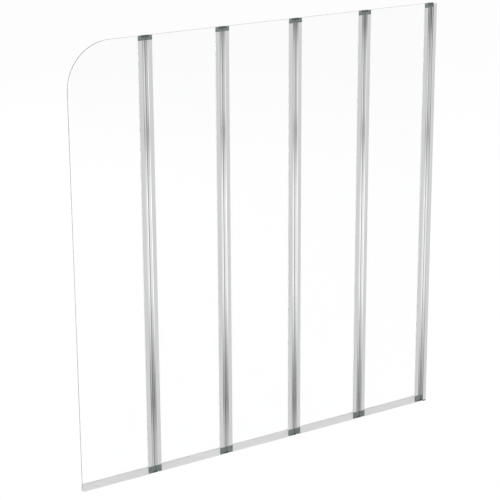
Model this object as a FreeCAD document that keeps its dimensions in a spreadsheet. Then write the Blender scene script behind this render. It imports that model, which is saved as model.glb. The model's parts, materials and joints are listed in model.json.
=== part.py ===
import FreeCAD, Part
import math
import os
from enum import IntEnum
from types import SimpleNamespace

import Sketcher
from FreeCAD import Placement, Rotation, Vector

# A folding bath screen: five clear glass panels, joined by hinge columns, hang on a wall profile.
# Frame: the wall is the plane x = 0 and the screen runs from it towards -X. The glass lies about y = 0,
# and z = 0 is the bath rim. Panels and columns are counted from the wall. Sizes are in millimetres.

PANEL_COUNT = 5
WALL_HOLE_COUNT = 4
FIXING_SCREW_COUNT = 4
TO_WALL = 1
FROM_WALL = -1
FRONT = -1
BACK = 1
UPRIGHT = Rotation()
UPSIDE_DOWN = Rotation(Vector(1, 0, 0), 180)
FACING_BACK = Rotation(Vector(1, 0, 0), -90)
# A sketch counts the points of a line, an arc or a circle in this order
Point = IntEnum("Point", "START END CENTRE")

# Driving dimensions: alias, value and meaning.
DIMENSIONS = (
    ("screen_height", 1400.0, "bath rim to the top edge"),
    ("panel_pitch", 267.5, "hinge column to hinge column"),
    ("end_panel_width", 251.0, "last pivot to the free edge"),
    ("corner_radius", 140.0, "rounded top corner of the free panel"),
    ("base_height", 24.0, "bath rim to the top of the bottom caps and seals"),
    ("top_cap_height", 14.0, "end cap at the top of a column"),
    ("rim_gap", 1.5, "bath rim to the bottom caps"),
    ("glass_thickness", 5.0, "toughened glass"),
    ("glass_bottom", 10.0, "bath rim to the lower glass edge"),
    ("glass_arris", 0.5, "ground edge of the glass"),
    ("glass_edge_gap", 0.5, "glass edge to the floor of its pocket"),
    ("flange_thickness", 8.8, "profile across the glass"),
    ("nose_relief", 1.1, "round nose of a profile beyond its flanges, front and back"),
    ("profile_reach", 17.0, "pivot to the glass side of a profile"),
    ("back_setback", 7.0, "back flange of a profile short of its front one"),
    ("profile_wall", 1.3, "wall of the extruded profiles"),
    ("pocket_back", 1.1, "link plate's step in an end cap to the glass pocket"),
    ("gasket_inset", 0.5, "gasket to the floor of the glass pocket"),
    ("gasket_lip", 1.2, "gasket beyond the mouth of the pocket"),
    ("gasket_lip_thickness", 0.4, "outer edge of the gasket"),
    ("strip_thickness", 1.2, "link strip between two noses"),
    ("strip_depth", 4.0, "link strip from front to back"),
    ("strip_round", 0.4, "rounded edges of the link strip"),
    ("strip_seat", 3.0, "link strip inside a link plate"),
    ("seat_gap", 0.1, "link strip to its seat, all round"),
    ("running_gap", 0.4, "nose to link strip"),
    ("plate_thickness", 4.0, "link plate"),
    ("plate_gap", 0.4, "link plate to end cap"),
    ("spigot_length", 12.0, "round spigot of an end cap in the nose of a profile"),
    ("spigot_gap", 0.1, "end cap spigot to the profile"),
    ("slot_gap", 0.2, "glass to the slot of an end cap"),
    ("pin_radius", 2.0, "hinge pin"),
    ("pin_length", 24.0, "hinge pin"),
    ("pin_recess", 0.5, "hinge pin below the face of its link plate"),
    ("pin_clearance", 0.05, "hinge pin to its bore"),
    ("pin_seat_clearance", 0.02, "hinge pin to the link plate that holds it"),
    ("seal_leg", 1.3, "seal beside the glass"),
    ("seal_floor", 1.5, "seal under the glass"),
    ("seal_lip", 1.0, "lip of the seal"),
    ("seal_spread", 5.0, "glass plane to the outer edge of a lip"),
    ("wall_reach", 16.0, "wall to the first pivot"),
    ("wall_profile_wall", 1.75, "wall of the channel on the wall"),
    ("slide_gap", 0.25, "wall hinge profile to the channel"),
    ("adjust_room", 2.75, "wall hinge profile to the floor of the channel"),
    ("wall_hinge_pocket", 5.5, "pocket behind the fixing screws"),
    ("wall_hole_radius", 2.75, "hole for a wall screw"),
    ("wall_hole_end", 90.0, "end of the channel to its first wall hole"),
    ("foot_height", 4.0, "foot under the channel"),
    ("cover_height", 2.0, "cover on top of the channel"),
    ("tongue_width", 9.0, "tongue of the foot and the cover in the channel"),
    ("tongue_length", 10.0, "how far these tongues go in"),
    ("tongue_gap", 0.1, "tongue to the channel and to the wall hinge profile"),
    ("screw_end", 150.0, "end of the channel to its first fixing screw"),
    ("screw_radius", 1.4, "fixing screw shank"),
    ("screw_length", 6.0, "fixing screw under its head"),
    ("screw_head_radius", 3.2, "fixing screw head"),
    ("screw_head_height", 2.0, "fixing screw head"),
    ("screw_head_round", 0.8, "rounded rim of the head"),
    ("screw_slot_width", 0.9, "cross recess of the head"),
    ("screw_slot_length", 3.6, "cross recess of the head"),
    ("screw_slot_depth", 1.0, "cross recess of the head"),
    ("screw_hole_clearance", 0.3, "fixing screw to its hole in the channel"),
    ("thread_clearance", 0.02, "fixing screw to its hole in the hinge profile"),
)


class Size:
    """A length: its value now, and the formula on the sheet that it stays bound to."""

    def __init__(self, value, formula):
        self.value = value
        self.formula = formula

    def __add__(self, other):
        other = as_size(other)
        return Size(self.value + other.value, f"({self.formula} + {other.formula})")

    def __sub__(self, other):
        other = as_size(other)
        return Size(self.value - other.value, f"({self.formula} - {other.formula})")

    def __mul__(self, other):
        other = as_size(other)
        return Size(self.value * other.value, f"({self.formula} * {other.formula})")

    def __truediv__(self, other):
        other = as_size(other)
        return Size(self.value / other.value, f"({self.formula} / {other.formula})")

    def __neg__(self):
        return Size(-self.value, f"(-{self.formula})")

    __rmul__ = __mul__


def as_size(number):
    """A plain number as a size, and a size as it is."""
    if isinstance(number, Size):
        return number
    return Size(number, f"({number})")


def other_leg(slant, leg):
    """The second short side of a right triangle."""
    length = math.sqrt(slant.value**2 - leg.value**2)
    return Size(length, f"sqrt(({slant.formula})^2 - ({leg.formula})^2)")


# The document and its sheet

doc = FreeCAD.newDocument("BathScreen")
sheet = doc.addObject("Spreadsheet::Sheet", "Dimensions")
for row, (alias, value, meaning) in enumerate(DIMENSIONS, start=1):
    sheet.set(f"A{row}", meaning)
    sheet.set(f"B{row}", str(value))
    sheet.setAlias(f"B{row}", alias)
doc.recompute()
lengths = {alias: Size(value, f"Dimensions.{alias}") for alias, value, meaning in DIMENSIONS}
dims = SimpleNamespace(**lengths)

# Sizes that follow from the driving dimensions

ROOT_TWO = Size(math.sqrt(2), "sqrt(2)")
flange_half = dims.flange_thickness / 2
nose_radius = flange_half + dims.nose_relief
nose_root = other_leg(nose_radius, flange_half)
chamber_radius = nose_radius - dims.profile_wall
step_end = nose_radius + dims.plate_gap
pocket_floor = step_end + dims.pocket_back
pivot_spacing = nose_radius * 2 + dims.strip_thickness + dims.running_gap * 2
profile_top = dims.screen_height - dims.top_cap_height
profile_length = profile_top - dims.base_height
bottom_cap_height = dims.base_height - dims.rim_gap
upper_plate = dims.screen_height - dims.plate_thickness
lower_plate = dims.rim_gap + dims.plate_thickness
strip_bottom = lower_plate - dims.strip_seat
strip_length = upper_plate + dims.strip_seat - strip_bottom
glass_half = dims.glass_thickness / 2
glass_edge = pocket_floor + dims.glass_edge_gap
wall_hinge_reach = dims.wall_reach - dims.wall_profile_wall - dims.adjust_room
wall_hinge_floor = wall_hinge_reach - dims.wall_hinge_pocket
channel_half = nose_radius + dims.slide_gap
channel_outer_half = channel_half + dims.wall_profile_wall
# The lips of the channel stay clear of the first link plate when that has turned by 45 degrees.
channel_depth = dims.wall_reach + channel_half - (nose_radius + dims.running_gap) * ROOT_TWO
channel_bottom = dims.foot_height
channel_top = dims.screen_height - dims.cover_height
channel_length = channel_top - channel_bottom
screw_x = (wall_hinge_reach + wall_hinge_floor) / 2 - dims.wall_reach
back_reach = dims.profile_reach - dims.back_setback
# The flanges of a profile: their root on the nose, half their thickness, their ends, and the pocket floor
panel_flanges = SimpleNamespace(
    root=nose_root, half=flange_half, front=dims.profile_reach, back=back_reach, floor=pocket_floor
)
wall_flanges = SimpleNamespace(
    root=0, half=nose_radius, front=wall_hinge_reach, back=wall_hinge_reach, floor=wall_hinge_floor
)

nodes = []


def inner_pivot(column):
    """The x of the pivot on the wall side of a hinge column."""
    return -(dims.wall_reach + dims.panel_pitch * (column - 1))


def outer_pivot(column):
    """The x of the pivot on the free side of a hinge column."""
    return inner_pivot(column) - pivot_spacing


def column_centre(column):
    return inner_pivot(column) - pivot_spacing / 2


def spread_heights(count, end):
    """Heights of evenly spread holes along the channel, the first and last at a distance from its ends."""
    step = (channel_length - end * 2) / (count - 1)
    return [channel_bottom + end + step * index for index in range(count)]


# Drawing and feature helpers


def bind(target, path, size):
    target.setExpression(path, as_size(size).formula)


def new_body(label):
    body = doc.addObject("PartDesign::Body", label)
    body.Label = label
    return body


def place(target, x, y, z, rotation=UPRIGHT):
    """Puts an object at a point whose coordinates stay bound to the sheet."""
    spot = [as_size(x), as_size(y), as_size(z)]
    target.Placement = Placement(Vector(*[size.value for size in spot]), rotation)
    for letter, size in zip("xyz", spot):
        bind(target, f"Placement.Base.{letter}", size)


def new_sketch(body, role, offset=None):
    """A sketch on one of the body's own planes, or at a distance in front of it."""
    plane = [feature for feature in body.Origin.OriginFeatures if feature.Role == role][0]
    sketch = body.newObject("Sketcher::SketchObject", f"{body.Label}_sketch")
    sketch.AttachmentSupport = [(plane, "")]
    sketch.MapMode = "FlatFace"
    if offset is not None:
        sketch.AttachmentOffset = Placement(Vector(0, 0, offset.value), UPRIGHT)
        bind(sketch, "AttachmentOffset.Base.z", offset)
    return sketch


def hold(sketch, kind, geometry, position, size):
    """Holds one coordinate of a sketch point: on the axis for a plain zero, else at a size."""
    origin_point = (-1, 1)
    axis = -2 if kind == "DistanceX" else -1
    if not isinstance(size, Size):
        sketch.addConstraint(Sketcher.Constraint("PointOnObject", geometry, position, axis))
        return
    number = sketch.addConstraint(Sketcher.Constraint(kind, *origin_point, geometry, position, size.value))
    bind(sketch, f"Constraints[{number}]", size)


def draw_outline(sketch, points, arcs=None):
    """Draws a closed loop through points whose coordinates are sizes.

    arcs: for the number of the point where an arc starts, its centre and +1 for an anticlockwise turn.
    """
    arcs = arcs or {}
    corners = [Vector(as_size(x).value, as_size(y).value, 0) for x, y in points]
    joints = []
    for index, first in enumerate(corners):
        last = corners[(index + 1) % len(corners)]
        if index not in arcs:
            geometry = sketch.addGeometry(Part.LineSegment(first, last))
            joints.append((geometry, Point.START, Point.END))
            continue
        (centre_x, centre_y), turn = arcs[index]
        middle = Vector(as_size(centre_x).value, as_size(centre_y).value, 0)
        spokes = [first - middle, last - middle][::turn]
        angles = [math.atan2(spoke.y, spoke.x) for spoke in spokes]
        if angles[1] <= angles[0]:
            angles[1] += math.tau
        circle = Part.Circle(middle, Vector(0, 0, 1), spokes[0].Length)
        geometry = sketch.addGeometry(Part.ArcOfCircle(circle, *angles))
        ends = (Point.START, Point.END)[::turn]
        joints.append((geometry, *ends))
        chord = last - first
        if abs(chord.y) >= abs(chord.x):
            hold(sketch, "DistanceX", geometry, Point.CENTRE, centre_x)
        else:
            hold(sketch, "DistanceY", geometry, Point.CENTRE, centre_y)
    for index, (geometry, first, last) in enumerate(joints):
        following, following_first, _ = joints[(index + 1) % len(joints)]
        sketch.addConstraint(Sketcher.Constraint("Coincident", geometry, last, following, following_first))
        x, y = points[index]
        hold(sketch, "DistanceX", geometry, first, x)
        hold(sketch, "DistanceY", geometry, first, y)


def draw_rectangle(sketch, left, right, front, back):
    draw_outline(sketch, [(left, front), (right, front), (right, back), (left, back)])


def draw_circle(sketch, x, y, radius):
    middle = Vector(as_size(x).value, as_size(y).value, 0)
    geometry = sketch.addGeometry(Part.Circle(middle, Vector(0, 0, 1), radius.value))
    hold(sketch, "DistanceX", geometry, Point.CENTRE, x)
    hold(sketch, "DistanceY", geometry, Point.CENTRE, y)
    number = sketch.addConstraint(Sketcher.Constraint("Radius", geometry, radius.value))
    bind(sketch, f"Constraints[{number}]", radius)


def pad(body, sketch, length, reversed_side=False, symmetric=False):
    feature = body.newObject("PartDesign::Pad", f"{body.Label}_pad")
    feature.Profile = sketch
    feature.Reversed = reversed_side
    if symmetric:
        feature.SideType = "Symmetric"
    bind(feature, "Length", length)
    return feature


def pocket(body, sketch, length=None, reversed_side=False, symmetric=False):
    """Cuts a sketch to a depth, or through everything, and makes sure that it took something away."""
    doc.recompute()
    before = body.Shape.Volume
    feature = body.newObject("PartDesign::Pocket", f"{body.Label}_pocket")
    feature.Profile = sketch
    feature.Reversed = reversed_side
    if symmetric:
        feature.SideType = "Symmetric"
    if length is None:
        feature.Type = "ThroughAll"
    else:
        bind(feature, "Length", length)
    doc.recompute()
    if body.Shape.Volume >= before:
        raise RuntimeError(f"{body.Label}: a pocket cut nothing")
    return feature


def add_node(label, members):
    """A node made of several solids of the same kind."""
    node = doc.addObject("Part::Compound", label)
    node.Label = label
    node.Links = members
    nodes.append(node)


# Round-nosed profiles and their end caps. "side" says on which side of the pivot the flat part lies.


def nose_outline(sketch, side, radius, reach):
    """A block with a round nose about the pivot."""
    points = [(0, radius), (reach * side, radius), (reach * side, -radius), (0, -radius)]
    draw_outline(sketch, points, {3: ((0, 0), -side)})


def stepped_nose_outline(sketch, side, radius, reach, back):
    """The same block with a shorter back half."""
    points = [
        (0, radius),
        (back * side, radius),
        (back * side, 0),
        (reach * side, 0),
        (reach * side, -radius),
        (0, -radius),
    ]
    draw_outline(sketch, points, {5: ((0, 0), -side)})


def make_profile(label, side, pivot, flanges):
    """An extruded profile: a hollow round nose, and a pocket between a front and a back flange."""
    body = new_body(label)
    sketch = new_sketch(body, "XY_Plane")
    root = flanges.root * side
    outside = flanges.half
    inside = outside - dims.profile_wall
    points = [
        (root, outside),
        (flanges.back * side, outside),
        (flanges.back * side, inside),
        (flanges.floor * side, inside),
        (flanges.floor * side, -inside),
        (flanges.front * side, -inside),
        (flanges.front * side, -outside),
        (root, -outside),
    ]
    draw_outline(sketch, points, {7: ((0, 0), -side)})
    draw_circle(sketch, 0, 0, chamber_radius)
    pad(body, sketch, profile_length)
    place(body, pivot, 0, dims.base_height)
    return body


def make_cap(label, side, reach, height, back=None):
    """An end cap on z = 0: its block, the spigot in the nose and the bore for the hinge pin.

    back: how far its back half reaches, if that is shorter.
    """
    body = new_body(label)
    block = new_sketch(body, "XY_Plane")
    if back is None:
        nose_outline(block, side, nose_radius, reach)
    else:
        stepped_nose_outline(block, side, nose_radius, reach, back)
    pad(body, block, height)
    spigot = new_sketch(body, "XY_Plane")
    draw_circle(spigot, 0, 0, chamber_radius - dims.spigot_gap)
    pad(body, spigot, dims.spigot_length, reversed_side=True)
    bore = new_sketch(body, "XY_Plane")
    draw_circle(bore, 0, 0, dims.pin_radius + dims.pin_clearance)
    pocket(body, bore, symmetric=True)
    return body


def make_panel_cap(label, side, height, slot_height, back=None):
    """An end cap that also holds the glass and is stepped down under the link plate."""
    body = make_cap(label, side, dims.profile_reach, height, back)
    step = new_sketch(body, "XY_Plane", height)
    margin = nose_radius * 2
    draw_rectangle(step, -margin * side, step_end * side, -margin, margin)
    pocket(body, step, dims.plate_thickness + dims.plate_gap)
    slot = new_sketch(body, "XY_Plane")
    slot_half = glass_half + dims.slot_gap
    draw_rectangle(slot, pocket_floor * side, dims.profile_reach * 2 * side, -slot_half, slot_half)
    pocket(body, slot, slot_height, reversed_side=True)
    return body


# Hinge columns


def draw_strip_section(sketch, gap):
    """The rounded section of a link strip about its own centre, or its seat with a gap all round."""
    right = dims.strip_thickness / 2 + gap
    back = dims.strip_depth / 2 + gap
    bend = dims.strip_round + gap
    side = right - bend
    end = back - bend
    points = [
        (-side, -back),
        (side, -back),
        (right, -end),
        (right, end),
        (side, back),
        (-side, back),
        (-right, end),
        (-right, -end),
    ]
    arcs = {
        1: ((side, -end), 1),
        3: ((side, end), 1),
        5: ((-side, end), 1),
        7: ((-side, -end), 1),
    }
    draw_outline(sketch, points, arcs)


def make_strip(label, column):
    """The thin strip between two noses. Its ends sit in the link plates."""
    body = new_body(label)
    section = new_sketch(body, "XY_Plane")
    draw_strip_section(section, 0)
    pad(body, section, strip_length)
    place(body, column_centre(column), 0, strip_bottom)
    nodes.append(body)


def make_plate(label):
    """A link plate with two eyes for the hinge pins and, on z = 0, a seat for the link strip."""
    body = new_body(label)
    eye = pivot_spacing / 2
    plate = new_sketch(body, "XY_Plane")
    points = [(eye, nose_radius), (-eye, nose_radius), (-eye, -nose_radius), (eye, -nose_radius)]
    draw_outline(plate, points, {1: ((-eye, 0), 1), 3: ((eye, 0), 1)})
    pad(body, plate, dims.plate_thickness)
    holes = new_sketch(body, "XY_Plane")
    for pivot in (eye, -eye):
        draw_circle(holes, pivot, 0, dims.pin_radius + dims.pin_seat_clearance)
    pocket(body, holes, symmetric=True)
    seat = new_sketch(body, "XY_Plane")
    draw_strip_section(seat, dims.seat_gap)
    pocket(body, seat, dims.strip_seat + dims.seat_gap, reversed_side=True)
    nodes.append(body)
    return body


def make_pin(label, pivot, bottom):
    pin = doc.addObject("Part::Cylinder", label)
    bind(pin, "Radius", dims.pin_radius)
    bind(pin, "Height", dims.pin_length)
    place(pin, pivot, 0, bottom)
    return pin


def make_column(column):
    make_strip(f"link_strip_{column}", column)
    top = make_plate(f"link_top_plate_{column}")
    place(top, column_centre(column), 0, upper_plate)
    bottom = make_plate(f"link_bottom_plate_{column}")
    place(bottom, column_centre(column), 0, lower_plate, UPSIDE_DOWN)
    upper_pin = dims.screen_height - dims.pin_recess - dims.pin_length
    lower_pin = dims.rim_gap + dims.pin_recess
    pins = []
    for pivot_name, pivot in (("inner", inner_pivot(column)), ("outer", outer_pivot(column))):
        pins.append(make_pin(f"{pivot_name}_upper_pin_{column}", pivot, upper_pin))
        pins.append(make_pin(f"{pivot_name}_lower_pin_{column}", pivot, lower_pin))
    add_node(f"hinge_pins_{column}", pins)


# Panels


def make_glass(label, left, right, free_corner):
    """A pane with ground edges. The free one has a rounded corner at the top left."""
    body = new_body(label)
    sketch = new_sketch(body, "XZ_Plane")
    bottom = dims.glass_bottom
    top = dims.screen_height
    if free_corner:
        bend = dims.corner_radius
        points = [(left, bottom), (right, bottom), (right, top), (left + bend, top), (left, top - bend)]
        draw_outline(sketch, points, {3: ((left + bend, top - bend), 1)})
    else:
        draw_rectangle(sketch, left, right, bottom, top)
    pane = pad(body, sketch, dims.glass_thickness, symmetric=True)
    doc.recompute()
    edges = enumerate(pane.Shape.Edges, start=1)
    rim = [f"Edge{number}" for number, edge in edges if edge.BoundBox.YLength < dims.glass_arris.value]
    arris = body.newObject("PartDesign::Chamfer", f"{label}_arris")
    arris.Base = (pane, rim)
    bind(arris, "Size", dims.glass_arris)
    nodes.append(body)


def make_gasket(label, side, pivot, face):
    """One glazing gasket, between the glass and the profile on one face of the glass."""
    body = new_body(label)
    flange = dims.profile_reach if face == FRONT else back_reach
    pocket_half = flange_half - dims.profile_wall
    inside = (pocket_floor + dims.gasket_inset) * side
    mouth = flange * side
    outside = (flange + dims.gasket_lip) * side
    points = [
        (inside, glass_half * face),
        (outside, glass_half * face),
        (outside, (glass_half + dims.gasket_lip_thickness) * face),
        (mouth, pocket_half * face),
        (inside, pocket_half * face),
    ]
    sketch = new_sketch(body, "XY_Plane")
    draw_outline(sketch, points)
    pad(body, sketch, profile_length)
    place(body, pivot, 0, dims.base_height)
    return body


def make_seal(label, left, length):
    """The seal under a pane: a clip round its edge, and two lips that spread on the bath rim."""
    body = new_body(label)
    sketch = new_sketch(body, "YZ_Plane")
    outer = glass_half + dims.seal_leg
    floor = dims.glass_bottom - dims.seal_floor
    inner_tip = dims.seal_spread - dims.seal_lip
    inner_root = outer - dims.seal_lip
    half = [
        (glass_half, dims.glass_bottom),
        (glass_half, dims.base_height),
        (outer, dims.base_height),
        (outer, floor),
        (dims.seal_spread, 0),
        (inner_tip, 0),
        (inner_root, floor),
    ]
    mirrored = [(-y, z) for y, z in reversed(half)]
    draw_outline(sketch, half + mirrored)
    pad(body, sketch, length)
    place(body, left, 0, 0)
    nodes.append(body)


def make_panel(number):
    """A pane with its profiles, gaskets, caps and seal, between two columns or on the last one."""
    is_free = number == PANEL_COUNT
    first_pivot = outer_pivot(number)
    sides = [("inner", FROM_WALL, first_pivot)]
    glass_right = first_pivot - glass_edge
    if is_free:
        glass_left = first_pivot - dims.end_panel_width
        seal_left = glass_left
    else:
        second_pivot = inner_pivot(number + 1)
        sides.append(("outer", TO_WALL, second_pivot))
        glass_left = second_pivot + glass_edge
        seal_left = second_pivot + dims.profile_reach
    make_glass(f"glass_{number}", glass_left, glass_right, is_free)
    make_seal(f"bottom_seal_{number}", seal_left, first_pivot - dims.profile_reach - seal_left)
    caps = []
    gaskets = []
    for name, side, pivot in sides:
        nodes.append(make_profile(f"{name}_profile_{number}", side, pivot, panel_flanges))
        top_heights = (dims.top_cap_height, dims.top_cap_height)
        top = make_panel_cap(f"{name}_top_cap_{number}", side, *top_heights, back_reach)
        place(top, pivot, 0, profile_top)
        bottom_heights = (bottom_cap_height, dims.base_height - dims.glass_bottom)
        bottom = make_panel_cap(f"{name}_bottom_cap_{number}", side, *bottom_heights)
        place(bottom, pivot, 0, dims.base_height, UPSIDE_DOWN)
        caps += [top, bottom]
        for face_name, face in (("front", FRONT), ("back", BACK)):
            gaskets.append(make_gasket(f"{name}_{face_name}_gasket_{number}", side, pivot, face))
    add_node(f"end_caps_{number}", caps)
    add_node(f"glazing_gaskets_{number}", gaskets)


# Wall side


def drill_screw_holes(body, radius, base):
    """Drills the row of fixing screw holes through what lies behind the glass plane."""
    sketch = new_sketch(body, "XZ_Plane")
    for height in spread_heights(FIXING_SCREW_COUNT, dims.screw_end):
        draw_circle(sketch, screw_x - as_size(base[0]), height - base[1], radius)
    pocket(body, sketch)


def make_wall_profile():
    """The U channel on the wall, with its wall holes and the holes of the fixing screws."""
    body = new_body("wall_profile")
    sketch = new_sketch(body, "XY_Plane")
    points = [
        (0, -channel_outer_half),
        (0, channel_outer_half),
        (-channel_depth, channel_outer_half),
        (-channel_depth, channel_half),
        (-dims.wall_profile_wall, channel_half),
        (-dims.wall_profile_wall, -channel_half),
        (-channel_depth, -channel_half),
        (-channel_depth, -channel_outer_half),
    ]
    draw_outline(sketch, points)
    pad(body, sketch, channel_length)
    holes = new_sketch(body, "YZ_Plane")
    for height in spread_heights(WALL_HOLE_COUNT, dims.wall_hole_end):
        draw_circle(holes, 0, height - channel_bottom, dims.wall_hole_radius)
    pocket(body, holes)
    drill_screw_holes(body, dims.screw_radius + dims.screw_hole_clearance, (0, channel_bottom))
    place(body, 0, 0, channel_bottom)
    nodes.append(body)


def make_closure(label, height, end, rotation):
    """A plug that closes one end of the channel round the first link plate. It stands on z = 0."""
    body = new_body(label)
    base = new_sketch(body, "XY_Plane")
    eye_side = -(dims.wall_reach - nose_radius - dims.plate_gap)
    points = [
        (0, -channel_outer_half),
        (0, channel_outer_half),
        (-channel_depth, channel_outer_half),
        (-channel_depth, channel_half),
        (eye_side, channel_half),
        (eye_side, -channel_half),
        (-channel_depth, -channel_half),
        (-channel_depth, -channel_outer_half),
    ]
    draw_outline(base, points)
    pad(body, base, height)
    tongue = new_sketch(body, "XY_Plane")
    tongue_half = dims.tongue_width / 2
    near = -(dims.wall_profile_wall + dims.tongue_gap)
    far = -(dims.wall_profile_wall + dims.adjust_room - dims.tongue_gap)
    draw_rectangle(tongue, far, near, -tongue_half, tongue_half)
    pad(body, tongue, dims.tongue_length, reversed_side=True)
    place(body, 0, 0, end, rotation)
    nodes.append(body)


def make_screw(label, height):
    """A pan-head screw with a cross recess. It stands on the underside of its head, z = 0."""
    body = new_body(label)
    shank = new_sketch(body, "XY_Plane")
    draw_circle(shank, 0, 0, dims.screw_radius)
    pad(body, shank, dims.screw_length, reversed_side=True)
    head = new_sketch(body, "XY_Plane")
    draw_circle(head, 0, 0, dims.screw_head_radius)
    crown = pad(body, head, dims.screw_head_height)
    doc.recompute()
    edges = enumerate(crown.Shape.Edges, start=1)
    middle = dims.screw_head_height.value / 2
    rim = [f"Edge{number}" for number, edge in edges if edge.BoundBox.ZMin > middle]
    rounded = body.newObject("PartDesign::Fillet", f"{label}_round")
    rounded.Base = (crown, rim)
    bind(rounded, "Radius", dims.screw_head_round)
    half_width = dims.screw_slot_width / 2
    half_length = dims.screw_slot_length / 2
    for across, along in ((half_width, half_length), (half_length, half_width)):
        slot = new_sketch(body, "XY_Plane", dims.screw_head_height)
        draw_rectangle(slot, -across, across, -along, along)
        pocket(body, slot, dims.screw_slot_depth)
    place(body, screw_x, channel_outer_half, height, FACING_BACK)
    return body


def make_wall_hinge():
    """The profile that slides into the channel, and its two end caps below the first link plates."""
    pivot = inner_pivot(1)
    profile = make_profile("wall_hinge_profile", TO_WALL, pivot, wall_flanges)
    drill_screw_holes(profile, dims.screw_radius + dims.thread_clearance, (pivot, dims.base_height))
    nodes.append(profile)
    step = dims.plate_thickness + dims.plate_gap
    top = make_cap("wall_hinge_top_cap", TO_WALL, wall_hinge_reach, dims.top_cap_height - step)
    place(top, pivot, 0, profile_top)
    bottom = make_cap("wall_hinge_bottom_cap", TO_WALL, wall_hinge_reach, bottom_cap_height - step)
    place(bottom, pivot, 0, dims.base_height, UPSIDE_DOWN)
    add_node("wall_hinge_caps", [top, bottom])


def make_wall_side():
    make_wall_profile()
    make_wall_hinge()
    make_closure("wall_foot", dims.foot_height, channel_bottom, UPSIDE_DOWN)
    make_closure("wall_top_cover", dims.cover_height, channel_top, UPRIGHT)
    heights = enumerate(spread_heights(FIXING_SCREW_COUNT, dims.screw_end), start=1)
    screws = [make_screw(f"fixing_screw_{number}", height) for number, height in heights]
    add_node("wall_fixing_screws", screws)


# Build, check and write


def check_document():
    """Stops if any object failed, or if a node's shape is missing or faulty."""
    for item in doc.Objects:
        if "Invalid" in item.State or "Error" in item.State:
            raise RuntimeError(f"{item.Label} failed: {item.State}")
    for node in nodes:
        if node.Shape.isNull() or not node.Shape.isValid() or not node.Shape.Solids:
            raise RuntimeError(f"{node.Label} has no valid solid")


make_wall_side()
for count in range(1, PANEL_COUNT + 1):
    make_column(count)
    make_panel(count)
doc.recompute()
check_document()
os.makedirs("parts", exist_ok=True)
for node in nodes:
    node.Shape.exportStep(os.path.join("parts", f"{node.Label}.step"))
print(f"{len(nodes)} nodes")
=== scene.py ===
import json
import math

import bpy
from mathutils import Matrix, Vector

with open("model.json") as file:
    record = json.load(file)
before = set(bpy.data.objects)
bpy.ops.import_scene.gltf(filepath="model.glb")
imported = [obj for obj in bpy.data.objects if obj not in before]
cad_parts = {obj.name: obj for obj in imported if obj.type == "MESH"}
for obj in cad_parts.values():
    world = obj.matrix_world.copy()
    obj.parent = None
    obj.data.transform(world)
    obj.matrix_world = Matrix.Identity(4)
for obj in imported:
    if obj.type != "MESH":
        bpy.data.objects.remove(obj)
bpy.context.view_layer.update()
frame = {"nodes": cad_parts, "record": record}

# A folding bath screen in a white studio. Metres; the wall is at x = 0 and the screen runs to -X.

# The photograph's view: the direction back to the camera from its target, and the lens in millimetres
VIEW_TURN = math.radians(-32.82)
VIEW_RISE = math.radians(17.29)
VIEW_ROLL = math.radians(-0.29)
VIEW_TARGET = Vector((-0.727, 0.0, 0.677))
VIEW_DISTANCE = 5.3
VIEW_LENS = 120.2

# Studio
FLOOR_SIZE = 60.0
FLOOR_COLOUR = (0.93, 0.93, 0.93, 1.0)
FLOOR_GLOW_SHARE = 0.92
WHITE = (1.0, 1.0, 1.0, 1.0)
WORLD_LIGHT = 0.8
SOFTBOXES = (
    # name, place, size, power
    ("key_light", (-3.2, -3.6, 4.2), 3.0, 130.0),
    ("fill_light", (2.6, -3.2, 3.0), 2.6, 60.0),
    ("rim_light", (-0.6, 3.8, 3.6), 3.0, 90.0),
)

# The room that polished metal mirrors, alike in front of the screen and behind it: how bright its right side
# and its front are at each rise of the mirrored ray, in degrees, and the walls between and beside them
MIRROR_BANDS = (
    # rise, right side, front
    (-36.0, 0.80, 0.80),
    (-26.0, 0.60, 0.60),
    (-23.6, 0.48, 0.48),
    (-22.5, 0.14, 0.12),
    (-21.4, 0.40, 0.28),
    (-20.0, 1.10, 0.62),
    (-18.5, 1.55, 1.00),
    (-15.6, 1.65, 1.05),
    (-14.1, 1.25, 0.72),
    (-13.6, 1.05, 0.50),
    (-13.2, 0.90, 0.36),
    (-12.9, 1.00, 0.46),
    (-12.4, 1.20, 0.62),
    (-11.4, 1.20, 0.62),
    (-10.8, 1.05, 0.55),
    (-10.3, 0.85, 0.48),
    (-9.9, 0.45, 0.35),
    (-9.6, 0.14, 0.15),
    (-9.2, 0.05, 0.08),
    (-8.6, 0.15, 0.15),
    (-7.6, 0.80, 0.80),
)
WHITE_WALL = (0.78, 0.78, 0.78, 1.0)
LEFT_WALL = (0.95, 0.95, 0.95, 1.0)
WHITE_WALL_START = math.radians(45)
FRONT_START = math.radians(81)
LEFT_WALL_START = math.radians(150)
CORNER_BLUR = math.radians(5)

# Softened edges of the moulded and extruded pieces, by material slot
EDGE_WIDTHS = {
    "bright_aluminium": 0.00025,
    "cap_plastic": 0.0005,
    "link_plastic": 0.0005,
    "light_plastic": 0.0004,
    "steel": 0.0003,
}
WELD_DISTANCE = 0.00001
EDGE_ANGLE = math.radians(40)
EDGE_SEGMENTS = 2

# Material slots that light passes through without a shadow
SEE_THROUGH = ("clear_glass", "gasket_rubber")

# Sockets that are known by number only: those of a Mix node for colours, and of a Mix Shader node
FIRST_COLOUR = 6
SECOND_COLOUR = 7
MIXED_COLOUR = 2
FIRST_SHADER = 1
SECOND_SHADER = 2

# The usual span of a noise's grey value, and how much finer detail a noise has
NOISE_LOW = 0.3
NOISE_HIGH = 0.7
SMOOTH = 1.0
MEDIUM = 2.0
FINE = 3.0


# Node helpers


def grey(level, tint=(1.0, 1.0, 1.0)):
    """A linear grey, with a slight tint if wanted."""
    return (level * tint[0], level * tint[1], level * tint[2], 1.0)


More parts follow.
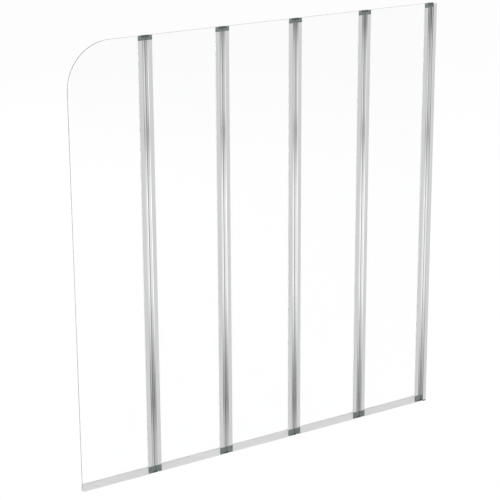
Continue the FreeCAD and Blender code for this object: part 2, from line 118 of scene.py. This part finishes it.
def calculate(tree, operation, *sources):
    """The value of a Math node; each source is a socket or a number."""
    node = tree.nodes.new("ShaderNodeMath")
    node.operation = operation
    for socket, source in zip(node.inputs, sources):
        if isinstance(source, float):
            socket.default_value = source
        else:
            tree.links.new(source, socket)
    return node.outputs["Value"]


def stretch(tree, source, start, end, low=0.0, high=1.0, curve="LINEAR"):
    """A value's span from start to end, stretched to low and high."""
    node = tree.nodes.new("ShaderNodeMapRange")
    node.interpolation_type = curve
    node.inputs["From Min"].default_value = start
    node.inputs["From Max"].default_value = end
    node.inputs["To Min"].default_value = low
    node.inputs["To Max"].default_value = high
    tree.links.new(source, node.inputs["Value"])
    return node.outputs["Result"]


def blend(tree, share, first, second):
    """A colour between two, each a colour or a socket, by a share."""
    mix = tree.nodes.new("ShaderNodeMix")
    mix.data_type = "RGBA"
    tree.links.new(share, mix.inputs["Factor"])
    for number, colour in ((FIRST_COLOUR, first), (SECOND_COLOUR, second)):
        if isinstance(colour, tuple):
            mix.inputs[number].default_value = colour
        else:
            tree.links.new(colour, mix.inputs[number])
    return mix.outputs[MIXED_COLOUR]


def mix_shaders(tree, share, first, second):
    """A shader between two, by a share."""
    mix = tree.nodes.new("ShaderNodeMixShader")
    tree.links.new(share, mix.inputs["Fac"])
    tree.links.new(first, mix.inputs[FIRST_SHADER])
    tree.links.new(second, mix.inputs[SECOND_SHADER])
    return mix.outputs["Shader"]


class Finish:
    """A material with one main shader, and short ways to add detail to it."""

    def __init__(self, name):
        self.material = bpy.data.materials.new(name)
        self.material.use_nodes = True
        self.tree = self.material.node_tree
        self.shader = self.tree.nodes["Principled BSDF"]
        self.coordinates = self.tree.nodes.new("ShaderNodeTexCoord")

    def set(self, **values):
        """Sets sockets of the main shader; an underscore in a name stands for a space."""
        for name, value in values.items():
            self.shader.inputs[name.replace("_", " ")].default_value = value

    def link(self, source, name):
        """Leads a socket to one of the main shader."""
        self.tree.links.new(source, self.shader.inputs[name])

    def noise(self, cells, detail):
        """Noise with its own number of cells per metre along each axis. The grey value is about 0.5."""
        mapping = self.tree.nodes.new("ShaderNodeMapping")
        mapping.inputs["Scale"].default_value = cells
        self.tree.links.new(self.coordinates.outputs["Object"], mapping.inputs["Vector"])
        texture = self.tree.nodes.new("ShaderNodeTexNoise")
        texture.inputs["Scale"].default_value = 1.0
        texture.inputs["Detail"].default_value = detail
        self.tree.links.new(mapping.outputs["Vector"], texture.inputs["Vector"])
        return texture.outputs["Fac"]

    def spread(self, source, low=0.0, high=1.0):
        """A grey value stretched from a noise's usual span to low and high."""
        return stretch(self.tree, source, NOISE_LOW, NOISE_HIGH, low, high)

    def blend(self, share, first, second):
        """A colour between two, each a colour or a socket, by a share."""
        return blend(self.tree, share, first, second)

    def facing(self, axis):
        """1 on faces that look along an axis, either way, and 0 on faces that look across it."""
        sides = self.tree.nodes.new("ShaderNodeSeparateXYZ")
        self.tree.links.new(self.coordinates.outputs["Normal"], sides.inputs["Vector"])
        return self.spread(calculate(self.tree, "ABSOLUTE", sides.outputs[axis]))

    def bump(self, source, depth, strength):
        """Relief of a depth in metres."""
        relief = self.tree.nodes.new("ShaderNodeBump")
        relief.inputs["Distance"].default_value = depth
        relief.inputs["Strength"].default_value = strength
        self.tree.links.new(source, relief.inputs["Height"])
        self.link(relief.outputs["Normal"], "Normal")


# Finishes. Cells are per metre along X, Y and Z, and a roughness is a pair of its lowest and highest value.

GLASS_IOR = 1.5
GLASS_FACE = grey(0.995, (0.997, 1.0, 0.999))
UPRIGHT_EDGE = grey(0.85, (0.98, 1.0, 0.99))
# The level edge's darker grey is painted shade, not a different grind of the edge.
SHADED_LEVEL_EDGE = grey(0.48, (0.96, 1.0, 0.98))
EDGE_CLEARNESS = 0.62
FILM_CELLS = (6.0, 6.0, 9.0)
FILM_ROUGHNESS = (0.0, 0.02)
WAVE_CELLS = (4.0, 4.0, 14.0)
WAVE_DEPTH = 0.0002
WAVE_STRENGTH = 0.05
GLASS_BODY = (0.72, 0.80, 0.78, 1.0)
GLASS_DENSITY = 5.0


def make_glass():
    """Clear toughened glass, with the faint roller wave of float glass and a ground edge, darker on its
    level sides as painted shade.
    """
    finish = Finish("clear_glass")
    finish.set(IOR=GLASS_IOR)
    # Level (top and bottom) edges get a darker grey than upright ones: painted shade.
    edge = finish.blend(finish.facing("Z"), UPRIGHT_EDGE, SHADED_LEVEL_EDGE)
    finish.link(finish.blend(finish.facing("Y"), edge, GLASS_FACE), "Base Color")
    clearness = stretch(finish.tree, finish.facing("X"), 0.0, 1.0, 1.0, EDGE_CLEARNESS)
    finish.link(clearness, "Transmission Weight")
    film = finish.noise(FILM_CELLS, FINE)
    finish.link(finish.spread(film, *FILM_ROUGHNESS), "Roughness")
    finish.bump(finish.noise(WAVE_CELLS, SMOOTH), WAVE_DEPTH, WAVE_STRENGTH)
    absorption = finish.tree.nodes.new("ShaderNodeVolumeAbsorption")
    absorption.inputs["Color"].default_value = GLASS_BODY
    absorption.inputs["Density"].default_value = GLASS_DENSITY
    output = finish.tree.nodes["Material Output"]
    finish.tree.links.new(absorption.outputs["Volume"], output.inputs["Volume"])
    return finish.material


ALUMINIUM = grey(0.80)
ALUMINIUM_CLOUD = grey(0.84, (0.99, 1.0, 1.01))
ALUMINIUM_CLOUD_CELLS = (30.0, 30.0, 4.0)
DRAWN_LINE = grey(0.72)
DRAWN_LINE_SHARE = 0.25
DRAWN_LINE_CELLS = (900.0, 900.0, 2.5)
DRAWN_LINE_DEPTH = 0.0001
DRAWN_LINE_STRENGTH = 0.04
ALUMINIUM_ROUGHNESS = (0.015, 0.04)


def make_aluminium():
    """Bright anodised aluminium, drawn along the profile."""
    finish = Finish("bright_aluminium")
    finish.set(Metallic=1.0)
    lines = finish.noise(DRAWN_LINE_CELLS, FINE)
    clouds = finish.noise(ALUMINIUM_CLOUD_CELLS, MEDIUM)
    plain = finish.blend(finish.spread(clouds), ALUMINIUM, ALUMINIUM_CLOUD)
    colour = finish.blend(finish.spread(lines, high=DRAWN_LINE_SHARE), plain, DRAWN_LINE)
    finish.link(colour, "Base Color")
    finish.link(finish.spread(lines, *ALUMINIUM_ROUGHNESS), "Roughness")
    finish.bump(lines, DRAWN_LINE_DEPTH, DRAWN_LINE_STRENGTH)
    return finish.material


COOL = (0.88, 1.05, 1.05)
NEUTRAL = (1.0, 1.0, 1.0)
MOULDED_PLASTICS = (
    # slot, grey level, tint, roughness
    ("cap_plastic", 0.13, COOL, 0.42),
    # The link plastic is a darker plastic, and its deep grey is partly painted shade for the crevice between
    # the hinge noses.
    ("link_plastic", 0.05, COOL, 0.38),
    ("light_plastic", 0.66, NEUTRAL, 0.4),
)
MOULD_CLOUD_CELLS = (70.0, 70.0, 70.0)
MOULD_CLOUD_DEPTH = 0.14
GRAIN_CELLS = (1800.0, 1800.0, 1800.0)
GRAIN_DEPTH = 0.0002
GRAIN_STRENGTH = 0.2
GRAIN_SMOOTHER = 0.06
GRAIN_ROUGHER = 0.08


def make_moulded(name, level, tint, roughness):
    """Moulded plastic with a fine spark-eroded grain."""
    finish = Finish(name)
    clouds = finish.noise(MOULD_CLOUD_CELLS, FINE)
    grain = finish.noise(GRAIN_CELLS, MEDIUM)
    dark = grey(level * (1.0 - MOULD_CLOUD_DEPTH), tint)
    light = grey(level * (1.0 + MOULD_CLOUD_DEPTH), tint)
    finish.link(finish.blend(finish.spread(clouds), dark, light), "Base Color")
    grained = finish.spread(grain, roughness - GRAIN_SMOOTHER, roughness + GRAIN_ROUGHER)
    finish.link(grained, "Roughness")
    finish.bump(grain, GRAIN_DEPTH, GRAIN_STRENGTH)
    return finish.material


SEAL_IOR = 1.46
SEAL_CLEARNESS = 0.2
SEAL_DARK = grey(0.60)
SEAL_LIGHT = grey(0.70)
SEAL_CLOUD = grey(0.63, (1.0, 1.0, 0.99))
SEAL_CLOUD_SHARE = 0.4
SEAL_CLOUD_CELLS = (18.0, 60.0, 60.0)
STREAK_CELLS = (3.0, 700.0, 420.0)
STREAK_DEPTH = 0.0002
STREAK_STRENGTH = 0.15
SEAL_ROUGHNESS = (0.28, 0.42)


def make_seal():
    """Soft extruded strip, slightly milky, with the streaks of its die."""
    finish = Finish("seal_plastic")
    finish.set(IOR=SEAL_IOR, Transmission_Weight=SEAL_CLEARNESS)
    streaks = finish.noise(STREAK_CELLS, FINE)
    clouds = finish.noise(SEAL_CLOUD_CELLS, MEDIUM)
    streaked = finish.blend(finish.spread(streaks), SEAL_DARK, SEAL_LIGHT)
    colour = finish.blend(finish.spread(clouds, high=SEAL_CLOUD_SHARE), streaked, SEAL_CLOUD)
    finish.link(colour, "Base Color")
    finish.link(finish.spread(streaks, *SEAL_ROUGHNESS), "Roughness")
    finish.bump(streaks, STREAK_DEPTH, STREAK_STRENGTH)
    return finish.material


RUBBER_IOR = 1.45
RUBBER_CLEARNESS = 0.6
RUBBER_DARK = grey(0.86)
RUBBER_LIGHT = grey(0.93)
SKIN_CELLS = (900.0, 900.0, 40.0)
SKIN_DEPTH = 0.0001
SKIN_STRENGTH = 0.2
RUBBER_ROUGHNESS = (0.25, 0.4)


def make_rubber():
    """Clear glazing rubber, slightly milky, with a satin skin."""
    finish = Finish("gasket_rubber")
    finish.set(IOR=RUBBER_IOR, Transmission_Weight=RUBBER_CLEARNESS)
    skin = finish.noise(SKIN_CELLS, FINE)
    finish.link(finish.blend(finish.spread(skin), RUBBER_DARK, RUBBER_LIGHT), "Base Color")
    finish.link(finish.spread(skin, *RUBBER_ROUGHNESS), "Roughness")
    finish.bump(skin, SKIN_DEPTH, SKIN_STRENGTH)
    return finish.material


STEEL_DARK = grey(0.50)
STEEL_LIGHT = grey(0.62)
TURNING_CELLS = (2200.0, 2200.0, 2200.0)
TURNING_DEPTH = 0.0001
TURNING_STRENGTH = 0.15
STEEL_ROUGHNESS = (0.22, 0.36)


def make_steel():
    """Turned stainless steel."""
    finish = Finish("steel")
    finish.set(Metallic=1.0)
    turning = finish.noise(TURNING_CELLS, MEDIUM)
    finish.link(finish.blend(finish.spread(turning), STEEL_DARK, STEEL_LIGHT), "Base Color")
    finish.link(finish.spread(turning, *STEEL_ROUGHNESS), "Roughness")
    finish.bump(turning, TURNING_DEPTH, TURNING_STRENGTH)
    return finish.material


finishes = {
    "clear_glass": make_glass(),
    "bright_aluminium": make_aluminium(),
    "seal_plastic": make_seal(),
    "gasket_rubber": make_rubber(),
    "steel": make_steel(),
}
for plastic in MOULDED_PLASTICS:
    finishes[plastic[0]] = make_moulded(*plastic)


# Dressing of the CAD solids


def soften(piece, width):
    """Rounds the sharp edges of a CAD solid, as a mould or a die does."""
    weld = piece.modifiers.new("weld", "WELD")
    weld.merge_threshold = WELD_DISTANCE
    bevel = piece.modifiers.new("soft_edges", "BEVEL")
    bevel.width = width
    bevel.segments = EDGE_SEGMENTS
    bevel.limit_method = "ANGLE"
    bevel.angle_limit = EDGE_ANGLE
    shading = piece.modifiers.new("large_faces_first", "WEIGHTED_NORMAL")
    shading.keep_sharp = True


for part in frame["record"]["subparts"]:
    piece = frame["nodes"][part["node"]]
    slot = part["material_slot"]
    piece.data.materials.clear()
    piece.data.materials.append(finishes[slot])
    piece.visible_shadow = slot not in SEE_THROUGH
    if slot in EDGE_WIDTHS:
        soften(piece, EDGE_WIDTHS[slot])


# Studio: floor, world, lamps and camera


def view_rays(tree):
    """1 for rays that show the background: to the camera or through glass."""
    path = tree.nodes.new("ShaderNodeLightPath")
    return calculate(tree, "MAXIMUM", path.outputs["Is Camera Ray"], path.outputs["Is Transmission Ray"])


def make_floor():
    """A pale floor that looks white and keeps a faint shadow."""
    bpy.ops.mesh.primitive_plane_add(size=FLOOR_SIZE, location=(0.0, 0.0, 0.0))
    floor = bpy.context.object
    floor.name = "studio_floor"
    material = bpy.data.materials.new("studio_floor")
    material.use_nodes = True
    tree = material.node_tree
    paint = tree.nodes["Principled BSDF"]
    paint.inputs["Base Color"].default_value = FLOOR_COLOUR
    paint.inputs["Roughness"].default_value = 1.0
    paint.inputs["Specular IOR Level"].default_value = 0.0
    glow = tree.nodes.new("ShaderNodeEmission")
    glow.inputs["Color"].default_value = WHITE
    share = calculate(tree, "MULTIPLY", view_rays(tree), FLOOR_GLOW_SHARE)
    surface = mix_shaders(tree, share, paint.outputs["BSDF"], glow.outputs["Emission"])
    tree.links.new(surface, tree.nodes["Material Output"].inputs["Surface"])
    floor.data.materials.append(material)
    floor.visible_glossy = False


def height_ramp(tree, height, rises, levels):
    """A grey by height, through the levels at the given rises."""
    ramp = tree.nodes.new("ShaderNodeValToRGB")
    bands = ramp.color_ramp.elements
    for rise, level in zip(rises[1:-1], levels[1:-1]):
        bands.new((rise - rises[0]) / (rises[-1] - rises[0])).color = grey(level)
    bands[0].color = grey(levels[0])
    bands[-1].color = grey(levels[-1])
    tree.links.new(height, ramp.inputs["Fac"])
    return ramp.outputs["Color"]


def mirrored_room(tree):
    """The colour of the room by direction: each side starts at its heading, counted from the right."""
    direction = tree.nodes.new("ShaderNodeSeparateXYZ")
    place = tree.nodes.new("ShaderNodeTexCoord").outputs["Generated"]
    tree.links.new(place, direction.inputs["Vector"])
    degrees, right_levels, front_levels = zip(*MIRROR_BANDS)
    rises = [math.sin(math.radians(rise)) for rise in degrees]
    height = stretch(tree, direction.outputs["Z"], rises[0], rises[-1])
    right = height_ramp(tree, height, rises, right_levels)
    front = height_ramp(tree, height, rises, front_levels)
    depth = calculate(tree, "ABSOLUTE", direction.outputs["Y"])
    heading = calculate(tree, "ARCTAN2", depth, direction.outputs["X"])
    room = right
    for corner, side in ((WHITE_WALL_START, WHITE_WALL), (FRONT_START, front), (LEFT_WALL_START, LEFT_WALL)):
        beyond = stretch(tree, heading, corner - CORNER_BLUR, corner + CORNER_BLUR, curve="SMOOTHSTEP")
        room = blend(tree, beyond, room, side)
    return room


def make_world():
    """White where it is seen, softer as light, and a room with darker bands in a mirror."""
    world = bpy.data.worlds.new("studio")
    world.use_nodes = True
    bpy.context.scene.world = world
    tree = world.node_tree
    light = tree.nodes["Background"]
    light.inputs["Color"].default_value = WHITE
    light.inputs["Strength"].default_value = WORLD_LIGHT
    seen = tree.nodes.new("ShaderNodeBackground")
    seen.inputs["Color"].default_value = WHITE
    mirrored = tree.nodes.new("ShaderNodeBackground")
    tree.links.new(mirrored_room(tree), mirrored.inputs["Color"])
    plain = mix_shaders(tree, view_rays(tree), light.outputs["Background"], seen.outputs["Background"])
    glossy = tree.nodes.new("ShaderNodeLightPath").outputs["Is Glossy Ray"]
    whole = mix_shaders(tree, glossy, plain, mirrored.outputs["Background"])
    tree.links.new(whole, tree.nodes["World Output"].inputs["Surface"])


def make_softbox(name, spot, size, power):
    """A square lamp that points at the screen and shows neither to the camera nor in a mirror."""
    lamp = bpy.data.lights.new(name, "AREA")
    lamp.energy = power
    lamp.size = size
    holder = bpy.data.objects.new(name, lamp)
    bpy.context.scene.collection.objects.link(holder)
    holder.location = spot
    holder.rotation_euler = (VIEW_TARGET - Vector(spot)).to_track_quat("-Z", "Y").to_euler()
    holder.visible_camera = False
    holder.visible_glossy = False


def make_camera():
    """The photograph's camera, with its slight roll."""
    back = Vector(
        (
            math.sin(VIEW_TURN) * math.cos(VIEW_RISE),
            -math.cos(VIEW_TURN) * math.cos(VIEW_RISE),
            math.sin(VIEW_RISE),
        )
    )
    right = Vector((math.cos(VIEW_TURN), math.sin(VIEW_TURN), 0.0))
    up = back.cross(right)
    rolled_right = right * math.cos(VIEW_ROLL) + up * math.sin(VIEW_ROLL)
    rolled_up = up * math.cos(VIEW_ROLL) - right * math.sin(VIEW_ROLL)
    turn = Matrix((rolled_right, rolled_up, back)).transposed().to_4x4()
    data = bpy.data.cameras.new("photo_camera")
    data.lens = VIEW_LENS
    camera = bpy.data.objects.new("photo_camera", data)
    bpy.context.scene.collection.objects.link(camera)
    camera.matrix_world = Matrix.Translation(VIEW_TARGET + back * VIEW_DISTANCE) @ turn
    bpy.context.scene.camera = camera


make_floor()
make_world()
for softbox in SOFTBOXES:
    make_softbox(*softbox)
make_camera()
bpy.context.scene.view_settings.view_transform = "Standard"
